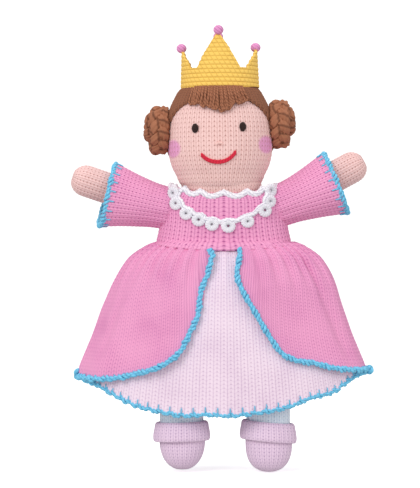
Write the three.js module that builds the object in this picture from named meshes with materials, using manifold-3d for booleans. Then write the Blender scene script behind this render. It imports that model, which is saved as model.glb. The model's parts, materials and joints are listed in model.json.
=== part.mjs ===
// Knitted princess hand puppet, in millimetres, +Z up, facing -Y.
// The origin is the centre of the hand opening, level with the lowest point of the hem.
// Left and right are the puppet's own: its left hand is on the +X side.
import * as THREE from 'three';
import { mergeVertices } from 'three/addons/utils/BufferGeometryUtils.js';
import Module from 'manifold-3d';

const wasm = await Module();
wasm.setup();

// Driving dimensions.
const knitWall = 2.4; // thickness of knitted fabric
const seamGap = 0.4; // clearance between pieces that are sewn or laid together
const layerGap = 1.2; // clearance between the two skirts
const yarnRadius = 1.8; // crochet edging

const waistHeight = 141;
const waistHalfWidth = 53;
const skirtHalfWidth = 114; // underskirt at its side corners
const skirtDepthRatio = 0.35; // half-depth over half-width at the hem
const waistDepthRatio = 0.46;
const hemRise = 34; // side corners of the hem above its middle
const backHemHeight = 22; // overskirt hem at the middle of the back
const openingHalfWidth = 10; // overskirt's front opening at the waist
const openingCornerHeight = 44; // where the front edge turns into the hem

const chestHalfWidth = 49;
const chestHalfDepth = 25;
const neckHeight = 186; // also the height of the nodding axis
const neckOpeningHalfWidth = 37;
const necklineDip = 7; // the neckline is lower at the front and the back

const shoulderX = 48;
const shoulderBall = 15; // radius of the rounded sleeve head
const armpitRoom = 8; // the bodice stops this far inside the shoulder centre
const shoulderClearance = 2; // between sleeve head and armhole, for the seam
const sleeveLength = 46;
const cuffRadius = 25.5;
const handRadius = 12.5;
const wristRadius = 11.4; // at the hand's inner end
const wristStart = 26; // where the inner end lies, out from the shoulder centre
const handStuffingLength = 12;

const headHalfWidth = 41.5;
const headHeight = 79;
const headDepthRatio = 0.88;
const headOffsetX = -2.6;
const headTilt = 0.8; // degrees, towards the puppet's right
const hairThickness = 2.4;
const fingerTubeRadius = 11.5;
const fingerTubeWall = 1.6;
const fingerTubeBelow = 8; // length of the finger tube below the neck
const fingerTubeAbove = 50;

const crownHalfWidth = 31;
const crownBase = 79.5; // above the neck
const crownTall = 40; // front and back points
const crownSide = 28; // side points
const crownValley = 15;
const bobbleRadius = 3.7;

const legX = 34.5;
const legY = -15;
const legTop = 26;
const legBottom = -42;
const legHalfWidth = 17.5;
const legDepthRatio = 0.68;
const bootTop = -15;
const bootCuffHeight = 13;
const bootCuffSwell = 3; // how far the turned-over cuff stands out at its lower edge

const arms = [
  { side: 'right', sign: -1, shoulderZ: 168.5, sleeveTilt: 12, handTilt: 7, handReach: 78 },
  { side: 'left', sign: 1, shoulderZ: 171, sleeveTilt: 21.5, handTilt: 7, handReach: 74 },
];

// Materials.
const yarn = (color, roughness = 0.95) => new THREE.MeshStandardMaterial({ color, roughness, metalness: 0 });
const dressPink = () => yarn(0xe68cc3);
const palePink = () => yarn(0xf2dcea);
const blueYarn = () => yarn(0x6cc3e6);
const laceWhite = () => yarn(0xf5f3fa);
const skinPeach = () => yarn(0xf1c9bd);
const hairBrown = () => yarn(0x8f5b3d);
const fibreWhite = () => yarn(0xf4f2ec);
const crownGold = () => yarn(0xf2c244);
const bobblePink = () => yarn(0xdd93cc);

const radians = (degrees) => THREE.MathUtils.degToRad(degrees);
const puppet = new THREE.Group();

function addPiece(parent, name, geometry, material) {
  const mesh = new THREE.Mesh(geometry, material);
  mesh.name = name;
  parent.add(mesh);
  return mesh;
}

// A turned solid about +Z from [radius, height] points.
function turned(points, segments) {
  const profile = points.map(([radius, height]) => new THREE.Vector2(radius, height));
  const geometry = new THREE.LatheGeometry(profile, segments);
  return geometry.rotateX(Math.PI / 2);
}

// Moves every vertex by a function of its place.
function reshape(geometry, place) {
  const positions = geometry.attributes.position;
  for (let i = 0; i < positions.count; i += 1) {
    const [x, y, z] = place(positions.getX(i), positions.getY(i), positions.getZ(i));
    positions.setXYZ(i, x, y, z);
  }
  return geometry;
}

const smallestEdge = 0.01; // cuts leave no edge shorter than this

function toSolid(geometry) {
  const bare = geometry.clone();
  bare.deleteAttribute('normal');
  bare.deleteAttribute('uv');
  const merged = mergeVertices(bare, 1e-3);
  const mesh = new wasm.Mesh({
    numProp: 3,
    vertProperties: Float32Array.from(merged.attributes.position.array),
    triVerts: Uint32Array.from(merged.index.array),
  });
  return new wasm.Manifold(mesh);
}

function toGeometry(solid) {
  const mesh = solid.simplify(smallestEdge).getMesh();
  const geometry = new THREE.BufferGeometry();
  geometry.setAttribute('position', new THREE.BufferAttribute(mesh.vertProperties, 3));
  geometry.setIndex(new THREE.BufferAttribute(mesh.triVerts, 1));
  return geometry;
}

function cutAway(geometry, ...cutters) {
  return toGeometry(cutters.reduce((solid, cutter) => solid.subtract(toSolid(cutter)), toSolid(geometry)));
}

// A prism of an outline in X and Z that runs along Y.
function prismAlongY(outline, fromY, toY) {
  const shape = new THREE.Shape(outline.map(([x, z]) => new THREE.Vector2(x, z)));
  const geometry = new THREE.ExtrudeGeometry(shape, { depth: toY - fromY, bevelEnabled: false });
  return geometry.rotateX(Math.PI / 2).translate(0, toY, 0);
}

// A prism of an outline in Y and Z that runs along X, as far to each side.
function prismAlongX(outline, halfLength) {
  const shape = new THREE.Shape(outline.map(([y, z]) => new THREE.Vector2(y, z)));
  const geometry = new THREE.ExtrudeGeometry(shape, { depth: 2 * halfLength, bevelEnabled: false });
  const [alongX, alongY, alongZ] = [[1, 0, 0], [0, 1, 0], [0, 0, 1]].map((axis) => new THREE.Vector3(...axis));
  geometry.applyMatrix4(new THREE.Matrix4().makeBasis(alongY, alongZ, alongX));
  return geometry.translate(-halfLength, 0, 0);
}

// A yarn that closes on itself: placeAt(angle) gives its centre line once round +Z.
function yarnLoop(placeAt, radius, segments, sides = 6) {
  const hub = 100;
  const points = [];
  for (let i = 0; i <= sides; i += 1) {
    const turn = (i / sides) * 2 * Math.PI;
    points.push([hub + radius * Math.cos(turn), radius * Math.sin(turn)]);
  }
  return reshape(turned(points, segments), (x, y, z) => {
    const angle = Math.atan2(y, x);
    const centre = placeAt(angle);
    const outwards = new THREE.Vector2(centre[0], centre[1]).normalize();
    const offset = Math.hypot(x, y) - hub;
    return [centre[0] + outwards.x * offset, centre[1] + outwards.y * offset, centre[2] + z];
  });
}

// A yarn with two ends along a curve through points.
function yarnStrand(points, radius, steps, sides = 6) {
  const curve = new THREE.CatmullRomCurve3(points.map((point) => new THREE.Vector3(...point)));
  const section = new THREE.Shape();
  for (let i = 0; i < sides; i += 1) {
    const turn = (i / sides) * 2 * Math.PI;
    section[i ? 'lineTo' : 'moveTo'](radius * Math.cos(turn), radius * Math.sin(turn));
  }
  return new THREE.ExtrudeGeometry(section, { extrudePath: curve, steps, bevelEnabled: false });
}

// Skirts. Each is a bell with a lens section. Share 0 is the hem and share 1 the waist.
const bellShares = [0, 0.3, 0.6, 0.8, 0.93, 1];
const bellSwell = [1, 0.86, 0.7, 0.52, 0.32, 0]; // of the widening from waist to hem

function bellWidening(share) {
  const last = bellShares.length - 2;
  const i = Math.min(last, bellShares.findIndex((_, k) => k > last || share <= bellShares[k + 1]));
  const part = (share - bellShares[i]) / (bellShares[i + 1] - bellShares[i]);
  return THREE.MathUtils.lerp(bellSwell[i], bellSwell[i + 1], part);
}

const skirtSegments = 32;
const sideShape = (angle) => Math.abs(Math.cos(angle)) ** 2.4;
const hemClearance = 2 * yarnRadius + seamGap;

const underskirt = {
  inset: 0,
  hemAt: (angle) => hemClearance + hemRise * sideShape(angle),
};
const overskirt = {
  inset: knitWall + layerGap,
  hemAt: (angle) => THREE.MathUtils.lerp(backHemHeight, hemRise + hemClearance, sideShape(angle)),
};

// A point of a skirt's middle surface, moved outwards by offset.
function skirtPoint(skirt, angle, share, offset) {
  const halfWidth = waistHalfWidth + (skirtHalfWidth - waistHalfWidth) * bellWidening(Math.max(share, 0));
  const ratio = THREE.MathUtils.lerp(skirtDepthRatio, waistDepthRatio, Math.max(share, 0));
  const outer = skirt.inset + offset;
  const hem = skirt.hemAt(angle);
  return [
    (halfWidth + outer) * Math.cos(angle),
    (halfWidth * ratio + outer) * Math.sin(angle),
    hem + (waistHeight - hem) * share,
  ];
}

function skirtShell(skirt, segments) {
  const hub = 100;
  const outside = bellShares.map((share) => [hub + knitWall / 2, share]);
  const inside = bellShares.map((share) => [hub - knitWall / 2, share]).reverse();
  const profile = [...outside, ...inside, outside[0]];
  return reshape(turned(profile, segments), (x, y, share) =>
    skirtPoint(skirt, Math.atan2(y, x), share, Math.hypot(x, y) - hub));
}

// The angle and share at which a skirt's surface has a given x and z, on its front.
function skirtFrontAt(skirt, x, z) {
  let angle = -Math.PI / 2;
  let share = 0;
  for (let i = 0; i < 40; i += 1) {
    const hem = skirt.hemAt(angle);
    share = (z - hem) / (waistHeight - hem);
    const halfWidth = skirtPoint(skirt, 0, share, 0)[0];
    angle = -Math.acos(THREE.MathUtils.clamp(x / halfWidth, -0.999, 0.999));
  }
  return { angle, share };
}

const openingEdge = [
  [openingHalfWidth, waistHeight - 4],
  [openingHalfWidth, waistHeight - 22],
  [openingHalfWidth + 5, waistHeight - 37],
  [openingHalfWidth + 13, waistHeight - 57],
  [openingHalfWidth + 23, waistHeight - 77],
  [openingHalfWidth + 35, openingCornerHeight + 8],
  [openingHalfWidth + 52, openingCornerHeight],
  [openingHalfWidth + 75, openingCornerHeight - 3],
  [openingHalfWidth + 95, openingCornerHeight - 5],
];

function addSkirts() {
  addPiece(puppet, 'underskirt', skirtShell(underskirt, skirtSegments), palePink());
  const hemLoop = yarnLoop((angle) => {
    const [x, y, z] = skirtPoint(underskirt, angle, 0, 0);
    return [x, y, z - yarnRadius - seamGap - 0.1];
  }, yarnRadius, 40);
  addPiece(puppet, 'underskirt_edging', hemLoop, blueYarn());

  const sideX = skirtHalfWidth + overskirt.inset + knitWall;
  const cutLeft = [[openingHalfWidth, waistHeight + 5], ...openingEdge, [sideX, hemRise + hemClearance]];
  const cutRight = cutLeft.map(([x, z]) => [-x, z]).reverse();
  const floor = [[-sideX, 0], [sideX, 0]];
  const opening = prismAlongY([...cutRight, ...cutLeft, ...floor.reverse()], -100, -4);
  addPiece(puppet, 'overskirt', cutAway(skirtShell(overskirt, skirtSegments), opening), dressPink());

  const rise = knitWall / 2 + yarnRadius + 4 * seamGap;
  const edgeCurve = new THREE.SplineCurve(openingEdge.map(([x, z]) => new THREE.Vector2(x, z)));
  const frontEdge = edgeCurve.getPoints(24).map(({ x, y: z }) => {
    const { angle, share } = skirtFrontAt(overskirt, x, z);
    return skirtPoint(overskirt, angle, share, rise);
  });
  const backSteps = 24;
  const backEdge = [];
  for (let i = 0; i <= backSteps; i += 1) {
    const angle = THREE.MathUtils.lerp(radians(-14), radians(194), i / backSteps);
    backEdge.push(skirtPoint(overskirt, angle, 0.03, rise));
  }
  const mirrored = frontEdge.map(([x, y, z]) => [-x, y, z]).reverse();
  addPiece(puppet, 'overskirt_edging', yarnStrand([...frontEdge, ...backEdge, ...mirrored], yarnRadius, 80, 5),
    blueYarn());
}

// Bodice: an open tube with an armhole on each side. Each level is [height, half-width, half-depth]
// of the middle of the fabric.
const bodiceLevels = [
  [waistHeight + seamGap, waistHalfWidth - 1, waistHalfWidth * waistDepthRatio],
  [waistHeight + 10, chestHalfWidth, chestHalfDepth - 1],
  [neckHeight - 14, chestHalfWidth - 1, chestHalfDepth - 1],
  [neckHeight - 10, chestHalfWidth - 3, chestHalfDepth - 1],
  [neckHeight, neckOpeningHalfWidth + knitWall / 2, chestHalfDepth - 1.5],
];

function addBodice() {
  const hub = 100;
  const outside = bodiceLevels.map((_, level) => [hub + knitWall / 2, level]);
  const inside = bodiceLevels.map((_, level) => [hub - knitWall / 2, level]).reverse();
  const shell = reshape(turned([...outside, ...inside, outside[0]], 28), (x, y, level) => {
    const [height, halfWidth, halfDepth] = bodiceLevels[Math.round(level)];
    const angle = Math.atan2(y, x);
    const offset = Math.hypot(x, y) - hub;
    const dip = Math.round(level) === bodiceLevels.length - 1 ? necklineDip * Math.sin(angle) ** 2 : 0;
    return [(halfWidth + offset) * Math.cos(angle), (halfDepth + offset) * Math.sin(angle), height - dip];
  });
  const balls = arms.map(({ sign, shoulderZ }) => {
    const ball = new THREE.SphereGeometry(shoulderBall + shoulderClearance + seamGap, 18, 11);
    return ball.translate(sign * shoulderX, 0, shoulderZ);
  });
  const pits = arms.map(({ sign, shoulderZ }) => {
    const reach = 2 * shoulderBall;
    const pit = new THREE.BoxGeometry(reach, 4 * chestHalfDepth, reach);
    return pit.translate(sign * (shoulderX - armpitRoom + reach / 2), 0, shoulderZ);
  });
  addPiece(puppet, 'bodice', cutAway(shell, ...balls, ...pits), dressPink());
}

// Lace on the bodice: a row round the neck and a necklace sewn across the chest.
function addLace() {
  const laceRadius = 1.6;
  const collar = yarnLoop((angle) => [
    (neckOpeningHalfWidth - 1) * Math.cos(angle),
    (chestHalfDepth + laceRadius + 3) * Math.sin(angle),
    neckHeight + laceRadius + seamGap - (necklineDip + 1.5) * Math.sin(angle) ** 4,
  ], laceRadius, 28);
  addPiece(puppet, 'lace_collar', collar, laceWhite());

  const front = -chestHalfDepth - laceRadius - 2 * seamGap;
  const half = [
    [0, front - 0.5, neckHeight - 29],
    [13, front - 0.5, neckHeight - 27],
    [24, front - 0.5, neckHeight - 20],
    [33, front + 1.5, neckHeight - 11],
    [37, front + 9, neckHeight - 3],
  ];
  const mirrored = half.slice(1).reverse().map(([x, y, z]) => [-x, y, z]);
  addPiece(puppet, 'lace_necklace', yarnStrand([...mirrored, ...half], laceRadius, 24), laceWhite());
}

const roundingTurns = [30, 60, 90]; // degrees along a rounded end
const handSegments = 16;

// Arms. Inside an arm's group, +Z runs out along the arm and +X is up.
function addArm({ side, sign, shoulderZ, sleeveTilt, handTilt, handReach }) {
  const arm = new THREE.Group();
  arm.position.set(sign * shoulderX, 0, shoulderZ);
  arm.rotation.y = sign * radians(90 - sleeveTilt);
  puppet.add(arm);

  const outside = [[-10, 0], [-5, 0], [0, 0], [4, 0.6]].map(([along, flare]) =>
    [Math.sqrt(shoulderBall ** 2 - Math.min(along, 0) ** 2) + flare, along]);
  outside.push([cuffRadius, sleeveLength - 2 * yarnRadius]);
  const inside = outside.map(([radius, along]) => [radius - knitWall, along]).reverse();
  addPiece(arm, `${side}_sleeve`, turned([...outside, ...inside, outside[0]], 20), dressPink());
  const cuffMiddle = cuffRadius - knitWall / 2;
  const edging = yarnLoop((angle) =>
    [cuffMiddle * Math.cos(angle), cuffMiddle * Math.sin(angle), sleeveLength - yarnRadius + seamGap], yarnRadius, 20);
  addPiece(arm, `${side}_sleeve_edging`, edging, blueYarn());

  const seamYarn = (shoulderClearance - 2 * seamGap) / 2;
  const seamReach = shoulderBall + shoulderClearance / 2;
  const seamAngle = radians(117);
  const seam = yarnLoop((angle) => [
    seamReach * Math.sin(seamAngle) * Math.cos(angle),
    seamReach * Math.sin(seamAngle) * Math.sin(angle),
    seamReach * Math.cos(seamAngle),
  ], seamYarn, 20, 5);
  addPiece(arm, `${side}_armhole_seam`, seam, dressPink());

  const hand = new THREE.Group();
  hand.rotation.y = -sign * radians(handTilt);
  arm.add(hand);
  const palmEnd = handReach - handRadius;
  const skin = [[wristRadius, wristStart], [handRadius, palmEnd]];
  const lining = [[wristRadius - knitWall, wristStart], [handRadius - knitWall, palmEnd]];
  for (const turn of roundingTurns) {
    const [c, s] = [Math.cos(radians(turn)), Math.sin(radians(turn))];
    skin.push([turn === 90 ? 0 : handRadius * c, palmEnd + handRadius * s]);
    lining.push([turn === 90 ? 0 : (handRadius - knitWall) * c, palmEnd + (handRadius - knitWall) * s]);
  }
  addPiece(hand, `${side}_hand`, turned([...lining.reverse(), ...skin], handSegments), skinPeach());
  const fillRadius = handRadius - knitWall - seamGap;
  const fillTop = palmEnd + fillRadius;
  const fill = [[0, fillTop - handStuffingLength], [fillRadius, fillTop - handStuffingLength], [fillRadius, palmEnd]];
  for (const turn of roundingTurns) {
    const reach = turn === 90 ? 0 : fillRadius * Math.cos(radians(turn));
    fill.push([reach, palmEnd + fillRadius * Math.sin(radians(turn))]);
  }
  addPiece(hand, `${side}_hand_stuffing`, turned(fill, handSegments), fibreWhite());
}

// Head. Inside the head's group, the origin is the middle of the neck.
const headOutline = [
  [0.6, 0.02], [0.68, 0.065], [0.8, 0.13], [0.92, 0.21], [0.99, 0.31], [1, 0.43],
  [0.985, 0.58], [0.945, 0.7], [0.89, 0.8], [0.8, 0.875], [0.66, 0.93], [0.45, 0.975], [0, 1],
];
const headSegments = 28;

// The outline of the head, moved out by offset and cut off below a height.
function headPoints(offset, fromHeight = 0) {
  const points = headOutline.map(([width, height]) => {
    const radius = width ? headHalfWidth * width + offset : 0;
    return [Math.max(radius, 0), headHeight * height + offset * (height > 0.8 ? 1 : 0)];
  });
  return points.filter(([, height]) => height >= fromHeight);
}

const deepen = (geometry) => geometry.scale(1, headDepthRatio, 1);

function headShell(inner, outer, fromHeight, segments) {
  return deepen(turned([...headPoints(inner, fromHeight).reverse(), ...headPoints(outer, fromHeight)], segments));
}

function headRadiusAt(z) {
  const points = headPoints(0);
  const i = points.findIndex(([, height], k) => k > 0 && z <= height);
  const [[r0, z0], [r1, z1]] = [points[i - 1], points[i]];
  return THREE.MathUtils.lerp(r0, r1, (z - z0) / (z1 - z0));
}

// The face at x and z, moved out by offset.
function facePoint(x, z, offset) {
  const radius = headRadiusAt(z);
  const y = -headDepthRatio * Math.sqrt(radius ** 2 - x ** 2);
  const normal = new THREE.Vector3(x, y / headDepthRatio ** 2, 0).normalize();
  return [x + normal.x * offset, y + normal.y * offset, z];
}

function addHead() {
  const head = new THREE.Group();
  head.position.set(headOffsetX, 0, neckHeight);
  head.rotation.y = radians(-headTilt);
  puppet.add(head);

  addPiece(head, 'head', headShell(-knitWall, 0, 0, headSegments), skinPeach());
  const boreRadius = fingerTubeRadius + seamGap;
  const bore = new THREE.CylinderGeometry(boreRadius, boreRadius, 2 * (fingerTubeAbove + 1), 20);
  const fill = headPoints(-knitWall - 2 * seamGap, 5);
  const filling = deepen(turned([[0, fill[0][1]], ...fill], headSegments));
  addPiece(head, 'head_stuffing', cutAway(filling, bore.rotateX(Math.PI / 2)), fibreWhite());
  const tube = [
    [fingerTubeRadius, -fingerTubeBelow], [fingerTubeRadius, fingerTubeAbove],
    [fingerTubeRadius - fingerTubeWall, fingerTubeAbove], [fingerTubeRadius - fingerTubeWall, -fingerTubeBelow],
    [fingerTubeRadius, -fingerTubeBelow],
  ];
  addPiece(head, 'head_finger_tube', turned(tube, 20), yarn(0xc9ad85, 0.9));

  addFace(head);
  addHair(head);
  addCrown(head);
}

function addFace(head) {
  const eyeX = 18.7;
  const eyeZ = 47;
  const eyeThickness = 1.3;
  for (const [side, sign] of [['right', -1], ['left', 1]]) {
    const eye = new THREE.SphereGeometry(1, 10, 6).scale(2.9, eyeThickness, 3.6);
    const [x, y, z] = facePoint(sign * eyeX, eyeZ, eyeThickness + seamGap);
    eye.rotateZ(Math.atan2(x, -y * 1.15)).translate(x, y, z);
    addPiece(head, `${side}_eye`, eye, yarn(0x2a1b20));
  }
  const onFace = (points, radius) => points.map(([x, z]) => facePoint(x, z, radius + 2 * seamGap));
  const noseYarn = 0.6;
  const nose = onFace([[-2.6, 32], [-1.4, 33.4], [1.4, 33.4], [2.6, 32]], noseYarn);
  addPiece(head, 'nose_stitch', yarnStrand(nose, noseYarn, 8), yarn(0xd98d86));
  const mouthYarn = 1.4;
  const smile = onFace([[-13.3, 26.3], [-8, 21.2], [-1, 19], [6.5, 21.2], [13.3, 26.8]], mouthYarn);
  addPiece(head, 'mouth_stitch', yarnStrand(smile, mouthYarn, 16), yarn(0xd3253d));
}

function addHair(head) {
  const nape = 16;
  const outer = hairThickness + seamGap;
  const reach = 2 * headHalfWidth;
  const hairline = crownBase - 4;
  const cap = headShell(seamGap, outer, nape, headSegments);
  const faceSide = [[-reach, 0], [8, 0], [8, nape], [-4, hairline - 18], [-16, hairline], [-reach, hairline]];
  addPiece(head, 'hair_cap', cutAway(cap, prismAlongX(faceSide, reach)), hairBrown());

  const outline = [
    [-15, hairline - seamGap], [-19, hairline - 9], [-10, hairline - 15], [1, hairline - 18],
    [12, hairline - 15], [20, hairline - 9], [16, hairline - seamGap],
  ];
  const patch = toSolid(prismAlongY(outline, -reach, 0));
  addPiece(head, 'hair_fringe', toGeometry(toSolid(cap).intersect(patch)), hairBrown());

  const bunRadius = 19.5;
  const bunThickness = 15;
  const bunHeight = 46;
  const bunProfile = [
    [0, 0], [bunRadius - 4, 0], [bunRadius, 4], [bunRadius, bunThickness - 5],
    [bunRadius - 5, bunThickness], [0, bunThickness],
  ];
  for (const [side, sign] of [['right', -1], ['left', 1]]) {
    const bun = turned(bunProfile, 20).rotateY(sign * Math.PI / 2);
    bun.translate(sign * (headHalfWidth + outer + seamGap), 3, bunHeight);
    addPiece(head, `${side}_plait_coil`, bun, hairBrown());
  }
}

function addCrown(head) {
  const segments = 32;
  const step = (2 * Math.PI) / segments;
  const ratio = 0.88;
  const valley = 5 * step; // from the side point
  const heightAt = (angle) => {
    const fromSide = Math.acos(Math.min(1, Math.abs(Math.cos(angle))));
    if (fromSide <= valley) {
      return THREE.MathUtils.lerp(crownSide, crownValley, fromSide / valley);
    }
    return THREE.MathUtils.lerp(crownValley, crownTall, (fromSide - valley) / (Math.PI / 2 - valley));
  };
  const wall = knitWall;
  const profile = [
    [crownHalfWidth, 0], [crownHalfWidth, 0.4], [crownHalfWidth, 1],
    [crownHalfWidth - wall, 1], [crownHalfWidth - wall, 0.4], [crownHalfWidth - wall, 0], [crownHalfWidth, 0],
  ];
  const band = reshape(turned(profile, segments), (x, y, share) =>
    [x, y * ratio, crownBase + share * heightAt(Math.atan2(y, x))]);
  addPiece(head, 'crown', band, crownGold());
  const middle = crownHalfWidth - wall / 2;
  const tips = [['front', 0, -middle * ratio, crownTall], ['back', 0, middle * ratio, crownTall],
    ['right', -middle, 0, crownSide], ['left', middle, 0, crownSide]];
  for (const [side, x, y, tall] of tips) {
    const bobble = new THREE.SphereGeometry(bobbleRadius, 10, 6);
    bobble.translate(x, y, crownBase + tall + bobbleRadius + seamGap);
    addPiece(head, `${side}_crown_bobble`, bobble, bobblePink());
  }
}

// Legs: a stuffed stocking in a bootee with a rolled top.
const legSegments = 16;

function addLeg(side, sign) {
  const leg = new THREE.Group();
  leg.position.set(sign * legX, legY, 0);
  puppet.add(leg);
  const flatten = (geometry) => geometry.scale(1, legDepthRatio, 1);

  const bootGap = 2 * seamGap;
  const toe = legBottom + knitWall + seamGap;
  const foot = (inset) => [
    [0, toe + inset], [legHalfWidth * 0.5 - inset, toe + 2.5 + inset], [legHalfWidth * 0.82 - inset, toe + 9 + inset],
    [legHalfWidth - inset, toe + 20 + inset * 0.3],
  ];
  const stockingIn = [...foot(knitWall), [legHalfWidth - knitWall, legTop]];
  const stockingOut = [...foot(0), [legHalfWidth, legTop]];
  addPiece(leg, `${side}_stocking`, flatten(turned([...stockingOut, ...stockingIn.reverse()], legSegments)), yarn(0xe4edf8));
  const fillInset = knitWall + bootGap;
  const fill = [...foot(fillInset), [legHalfWidth - fillInset, legTop - 4], [0, legTop - 4]];
  addPiece(leg, `${side}_leg_stuffing`, flatten(turned(fill, legSegments)), fibreWhite());
  const overStocking = legHalfWidth + bootGap;
  const overBoot = overStocking + knitWall + bootGap;
  const bootOut = [...foot(-knitWall - bootGap), [overStocking + knitWall, bootTop]];
  const bootIn = [...foot(-bootGap), [overStocking, bootTop]];
  addPiece(leg, `${side}_bootee`, flatten(turned([...bootOut, ...bootIn.reverse()], legSegments)), palePink());

  const cuffTop = bootTop + bootCuffHeight - 4;
  const cuffBottom = cuffTop - bootCuffHeight;
  const cuffProfile = [
    [overStocking, cuffTop], [overStocking, bootTop + 5 * seamGap], [overBoot, bootTop + bootGap], [overBoot, cuffBottom],
    [overBoot + bootCuffSwell - 1, cuffBottom], [overBoot + bootCuffSwell, bootTop], [overStocking + knitWall, cuffTop],
    [overStocking, cuffTop],
  ];
  addPiece(leg, `${side}_bootee_cuff`, flatten(turned(cuffProfile, legSegments)), palePink());
}

addSkirts();
addBodice();
addLace();
arms.forEach(addArm);
addHead();
addLeg('right', -1);
addLeg('left', 1);

export default puppet;
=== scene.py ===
import json
import math
import random

import bpy
import numpy as np
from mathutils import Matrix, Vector

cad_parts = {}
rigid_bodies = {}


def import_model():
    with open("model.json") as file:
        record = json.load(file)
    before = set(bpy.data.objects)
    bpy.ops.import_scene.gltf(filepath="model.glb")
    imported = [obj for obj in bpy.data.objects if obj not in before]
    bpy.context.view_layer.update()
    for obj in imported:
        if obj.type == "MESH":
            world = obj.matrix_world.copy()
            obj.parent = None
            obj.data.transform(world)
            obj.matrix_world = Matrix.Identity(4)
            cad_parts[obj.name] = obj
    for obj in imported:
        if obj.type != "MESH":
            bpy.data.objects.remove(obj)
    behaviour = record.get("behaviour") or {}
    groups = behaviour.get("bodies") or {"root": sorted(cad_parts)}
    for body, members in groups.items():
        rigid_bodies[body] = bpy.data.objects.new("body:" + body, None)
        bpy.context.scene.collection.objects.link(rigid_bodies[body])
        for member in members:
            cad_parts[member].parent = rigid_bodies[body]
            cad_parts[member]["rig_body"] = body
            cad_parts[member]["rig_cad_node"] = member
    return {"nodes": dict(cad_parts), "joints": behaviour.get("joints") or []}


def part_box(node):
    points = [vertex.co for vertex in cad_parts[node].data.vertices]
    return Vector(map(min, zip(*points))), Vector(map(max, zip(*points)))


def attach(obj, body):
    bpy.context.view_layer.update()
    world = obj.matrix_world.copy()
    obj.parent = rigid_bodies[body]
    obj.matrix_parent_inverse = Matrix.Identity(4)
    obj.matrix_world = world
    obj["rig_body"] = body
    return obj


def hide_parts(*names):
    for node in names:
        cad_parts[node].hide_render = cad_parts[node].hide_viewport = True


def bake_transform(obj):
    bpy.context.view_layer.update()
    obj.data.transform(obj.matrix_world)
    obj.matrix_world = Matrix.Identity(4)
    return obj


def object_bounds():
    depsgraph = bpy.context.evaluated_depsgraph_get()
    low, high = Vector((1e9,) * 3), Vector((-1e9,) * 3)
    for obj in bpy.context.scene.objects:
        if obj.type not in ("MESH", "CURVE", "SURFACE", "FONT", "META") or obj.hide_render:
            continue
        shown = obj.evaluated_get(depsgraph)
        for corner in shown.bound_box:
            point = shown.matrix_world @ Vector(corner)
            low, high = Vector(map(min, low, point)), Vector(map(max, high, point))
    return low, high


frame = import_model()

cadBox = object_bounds()
mm = 0.001
tau = math.tau
weldReach = 0.01 * mm
random.seed(7)


def lerp(a, b, t):
    return a + (b - a) * t


def fade(t):
    t = np.clip(t, 0, 1)
    return t * t * (3 - 2 * t)


def smoothCurve(xs, ys):
    # a smooth line through the given points
    xs, ys = np.array(xs, float), np.array(ys, float)
    slope = np.gradient(ys, xs)

    def at(x):
        x = np.clip(x, xs[0], xs[-1])
        i = np.clip(np.searchsorted(xs, x) - 1, 0, len(xs) - 2)
        h = xs[i + 1] - xs[i]
        t = (x - xs[i]) / h
        return ((1 + 2 * t) * (1 - t) ** 2 * ys[i] + t * (1 - t) ** 2 * h * slope[i]
                + t * t * (3 - 2 * t) * ys[i + 1] + t * t * (t - 1) * h * slope[i + 1])
    return at


def smoothPath(points, count, closed=False):
    # evenly spaced points on a smooth line through the given ones
    points = np.array(points, float)
    if closed:
        points = np.vstack([points[-3:], points, points[:3]])
    steps = np.r_[0, np.cumsum(np.linalg.norm(np.diff(points, axis=0), axis=1))]
    lines = [smoothCurve(steps, points[:, k]) for k in range(3)]
    lo, hi = (steps[3], steps[-3]) if closed else (0, steps[-1])
    fine = np.linspace(lo, hi, 40 * len(points))
    dense = np.stack([line(fine) for line in lines], 1)
    along = np.r_[0, np.cumsum(np.linalg.norm(np.diff(dense, axis=0), axis=1))]
    even = np.linspace(0, along[-1], count)
    return np.stack([np.interp(even, along, dense[:, k]) for k in range(3)], 1)


def curveInMm(xs, ys):
    return smoothCurve(np.array(xs) * mm, np.array(ys) * mm)


def turnedProfile(points, count=160):
    # a smooth outline from pairs of radius and height in millimetres
    return smoothPath(np.array([[r, 0, z] for r, z in points]) * mm, count)


def pathLength(points):
    return float(np.linalg.norm(np.diff(points, axis=0), axis=1).sum())


def deselectAll():
    bpy.ops.object.select_all(action="DESELECT")


def setActive(piece):
    deselectAll()
    piece.select_set(True)
    bpy.context.view_layer.objects.active = piece


def editMesh(operator, **settings):
    # one edit-mode operator over the whole of the active mesh
    bpy.ops.object.mode_set(mode="EDIT")
    bpy.ops.mesh.select_all(action="SELECT")
    operator(**settings)
    bpy.ops.object.mode_set(mode="OBJECT")


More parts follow.
